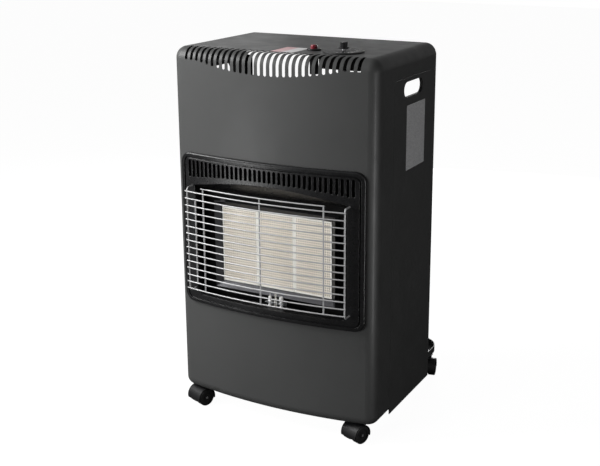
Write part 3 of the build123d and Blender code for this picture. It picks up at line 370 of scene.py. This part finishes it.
def slab(mesh, outline, lift):
    """Closed slab on an anticlockwise outline, as thick as the vector lift is long."""
    base = [mesh.verts.new(point) for point in outline]
    lid = [mesh.verts.new(point + lift) for point in outline]
    mesh.faces.new(lid)
    mesh.faces.new(base[::-1])
    for i in range(len(base)):
        j = (i + 1) % len(base)
        mesh.faces.new((base[i], base[j], lid[j], lid[i]))


def rounded(width, height, radius, steps=6):
    """Corner-rounded outline round the origin, anticlockwise."""
    points = []
    for i, (side_x, side_y) in enumerate(((1, 1), (-1, 1), (-1, -1), (1, -1))):
        corner_x = side_x * (width / 2 - radius)
        corner_y = side_y * (height / 2 - radius)
        for k in range(steps + 1):
            turn = radians(90 * (i + k / steps))
            points.append((corner_x + radius * cos(turn), corner_y + radius * sin(turn)))
    return points


def label(name, centre, across, up, size, radius, thick, material):
    """Thin sticker with rounded corners on the cabinet, which faces along across x up."""
    mesh = bmesh.new()
    outline = [centre + across * x + up * y for x, y in rounded(*size, radius)]
    slab(mesh, outline, across.cross(up) * thick)
    piece(name, mesh, material, "cabinet")


def dash(mesh, centre, turn, inner, outer, half, thick):
    """Dash on a level face, from inner to outer along a ray from the centre."""
    along = Vector((cos(turn), sin(turn), 0))
    side = Vector((-sin(turn), cos(turn), 0))
    corners = [along * inner - side * half, along * outer - side * half,
               along * outer + side * half, along * inner + side * half]
    slab(mesh, [centre + corner for corner in corners], Z * thick)


def dial_marks(axis, face_z):
    """Ring of dashes on the dial, from off to the far end of the knob's half turn."""
    mesh = bmesh.new()
    for i in range(MARK_COUNT):
        turn = radians(OFF_TURN + i * MARK_STEP)
        outer = MARK_OUTER + (LONG_MARK_EXTRA if i % LONG_MARK_EVERY == 0 else 0)
        centre = Vector((axis.x, axis.y, face_z - PRINT_SINK))
        dash(mesh, centre, turn, MARK_INNER, outer, MARK_HALF, MARK_THICK)
    piece("dial_marks", mesh, mark_white, "cabinet")


def knob_pointer(axis, face_z):
    """Dash on the knob's top that shows how far it is turned."""
    mesh = bmesh.new()
    centre = Vector((axis.x, axis.y, face_z - PRINT_SINK))
    dash(mesh, centre, radians(OFF_TURN), POINTER_INNER, POINTER_OUTER, POINTER_HALF,
         POINTER_THICK)
    piece("knob_pointer", mesh, mark_white, "knob")


def bead(name, left, right):
    """Cement bead with a crowned, slightly uneven face that fills the gap between two nodes."""
    low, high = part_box(left)
    start, end = high.x + BEAD_PLAY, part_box(right)[0].x - BEAD_PLAY
    back = low.y + BEAD_BACK
    mesh = bmesh.new()
    rings = []
    for i in range(BEAD_ROWS + 1):
        z = low.z + (high.z - low.z) * i / BEAD_ROWS
        waver = BEAD_WAVER * sin(BEAD_SHORT_WAVE * i) * cos(BEAD_LONG_WAVE * i)
        crest = low.y + BEAD_SINK + waver
        ring = [mesh.verts.new((start, back, z))]
        for j in range(BEAD_COLUMNS + 1):
            across = 2 * j / BEAD_COLUMNS - 1
            x = start + (end - start) * (across + 1) / 2
            ring.append(mesh.verts.new((x, crest + BEAD_CROWN * across ** 2, z)))
        ring.append(mesh.verts.new((end, back, z)))
        rings.append(ring)
    for lower, upper in zip(rings, rings[1:]):
        for j in range(len(lower)):
            k = (j + 1) % len(lower)
            wall = mesh.faces.new((lower[j], lower[k], upper[k], upper[j]))
            wall.smooth = True
    mesh.faces.new(rings[0][::-1])
    mesh.faces.new(rings[-1])
    piece(name, mesh, cement, "cabinet")


top_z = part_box("front_casing")[1].z
side_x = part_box("side_panel_right")[1].x
knob_low, knob_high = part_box("control_knob")
knob_axis = (knob_low + knob_high) / 2
dial_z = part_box("dial_plate")[1].z

label("side_plate", Vector((side_x, SIDE_PLATE_Y, SIDE_PLATE_Z)), Y, Z, SIDE_PLATE_SIZE,
      SIDE_PLATE_RADIUS, SIDE_PLATE_THICK, pale_sticker)
label("top_label", Vector((TOP_LABEL_X, TOP_LABEL_Y, top_z)), X, Y, TOP_LABEL_SIZE,
      TOP_LABEL_RADIUS, TOP_LABEL_THICK, blank_label)
dial_marks(knob_axis, dial_z)
knob_pointer(knob_axis, knob_high.z)
bead("plaque_joint_left", "ceramic_plaque_left", "ceramic_plaque_middle")
bead("plaque_joint_right", "ceramic_plaque_middle", "ceramic_plaque_right")


# ---- studio ----------------------------------------------------------------------------------
def floor_white(name):
    """Floor that looks white to the camera and takes a faint shadow."""
    material = bpy.data.materials.new(name)
    material.use_nodes = True
    tree = material.node_tree
    tree.nodes.clear()
    rays = tree.nodes.new("ShaderNodeLightPath").outputs
    seen = maths(tree, "MAXIMUM", rays["Is Camera Ray"], rays["Is Transmission Ray"])
    glow = tree.nodes.new("ShaderNodeEmission")
    glow.inputs["Color"].default_value = (1, 1, 1, 1)
    tree.links.new(maths(tree, "MULTIPLY", seen, FLOOR_GLOW), glow.inputs["Strength"])
    diffuse = tree.nodes.new("ShaderNodeBsdfDiffuse")
    diffuse.inputs["Color"].default_value = (FLOOR_SHADE, FLOOR_SHADE, FLOOR_SHADE, 1)
    both = tree.nodes.new("ShaderNodeAddShader")
    tree.links.new(diffuse.outputs["BSDF"], both.inputs[0])
    tree.links.new(glow.outputs["Emission"], both.inputs[1])
    output = tree.nodes.new("ShaderNodeOutputMaterial")
    tree.links.new(both.outputs["Shader"], output.inputs["Surface"])
    return material


def lay_floor():
    """Level plane under the castors."""
    half = FLOOR_HALF
    mesh = bpy.data.meshes.new("floor")
    corners = [(-half, -half, 0), (half, -half, 0), (half, half, 0), (-half, half, 0)]
    mesh.from_pydata(corners, [], [(0, 1, 2, 3)])
    mesh.materials.append(floor_white("floor_white"))
    floor = bpy.data.objects.new("floor", mesh)
    bpy.context.scene.collection.objects.link(floor)


def light_world():
    """World that is white to the camera, greyer in reflections and a weak fill light."""
    world = bpy.data.worlds.new("studio")
    bpy.context.scene.world = world
    world.use_nodes = True
    tree = world.node_tree
    tree.nodes.clear()
    rays = tree.nodes.new("ShaderNodeLightPath").outputs
    strength = maths(tree, "MULTIPLY", rays["Is Glossy Ray"], WORLD_GLOSS)
    for brighter in (rays["Is Camera Ray"], rays["Is Transmission Ray"], WORLD_FILL):
        strength = maths(tree, "MAXIMUM", strength, brighter)
    backdrop = tree.nodes.new("ShaderNodeBackground")
    backdrop.inputs["Color"].default_value = (1, 1, 1, 1)
    tree.links.new(strength, backdrop.inputs["Strength"])
    output = tree.nodes.new("ShaderNodeOutputWorld")
    tree.links.new(backdrop.outputs["Background"], output.inputs["Surface"])


def softbox(name, place, target, size, power, height=None, diffuse=True, glossy=True):
    """Area lamp aimed at a point, square unless a height is given.

    diffuse says whether it lights matt surfaces, glossy whether it shows in shiny ones.
    """
    lamp = bpy.data.lights.new(name, "AREA")
    lamp.shape = "RECTANGLE"
    lamp.size = size
    lamp.size_y = height or size
    lamp.energy = power
    thing = bpy.data.objects.new(name, lamp)
    thing.location = place
    thing.rotation_euler = (Vector(target) - Vector(place)).to_track_quat("-Z", "Y").to_euler()
    thing.visible_camera = False
    thing.visible_diffuse = diffuse
    thing.visible_glossy = glossy
    bpy.context.scene.collection.objects.link(thing)


def place_camera():
    """Camera to the right of the front, looking slightly down."""
    turn, lift = radians(CAMERA_TURN), radians(CAMERA_LIFT)
    back = Vector((sin(turn) * cos(lift), -cos(turn) * cos(lift), sin(lift)))
    data = bpy.data.cameras.new("camera")
    data.lens = LENS
    data.sensor_width = SENSOR_WIDTH
    data.shift_x = SHIFT_X
    data.shift_y = SHIFT_Y
    data.clip_start = CLIP_START
    camera = bpy.data.objects.new("camera", data)
    camera.location = CAMERA_TARGET + back * CAMERA_DISTANCE
    camera.rotation_euler = (-back).to_track_quat("-Z", "Y").to_euler()
    bpy.context.scene.collection.objects.link(camera)
    bpy.context.scene.camera = camera


lay_floor()
light_world()
softbox("key", (-1.2, -0.82, 1.3), (0, -0.15, 0.5), size=0.8, power=37)
softbox("rear", (-0.5, 1.9, 0.4), (0, 0, 0.4), size=0.8, power=20)
softbox("low", (-0.75, -1.15, 0.2), (-0.05, -0.2, 0.5), size=0.3, power=3, diffuse=False)
softbox("edge", (1.7, -0.45, 0.45), (0.2, -0.1, 0.45), size=0.6, power=2.2)
softbox("front", (-0.85, -2.05, 0.6), (0, -0.1, 0.45), size=0.8, power=21, glossy=False)
softbox("corner", (0.64, -0.4, 0.31), (0.2, -0.17, 0.31), size=0.06, power=2.4, height=0.58,
        diffuse=False)
softbox("sheen", (-1.25, 1.6, 1.15), (-0.1, 0, 0.7), size=0.5, power=1.1, diffuse=False)
place_camera()
bpy.context.scene.view_settings.view_transform = "Standard"
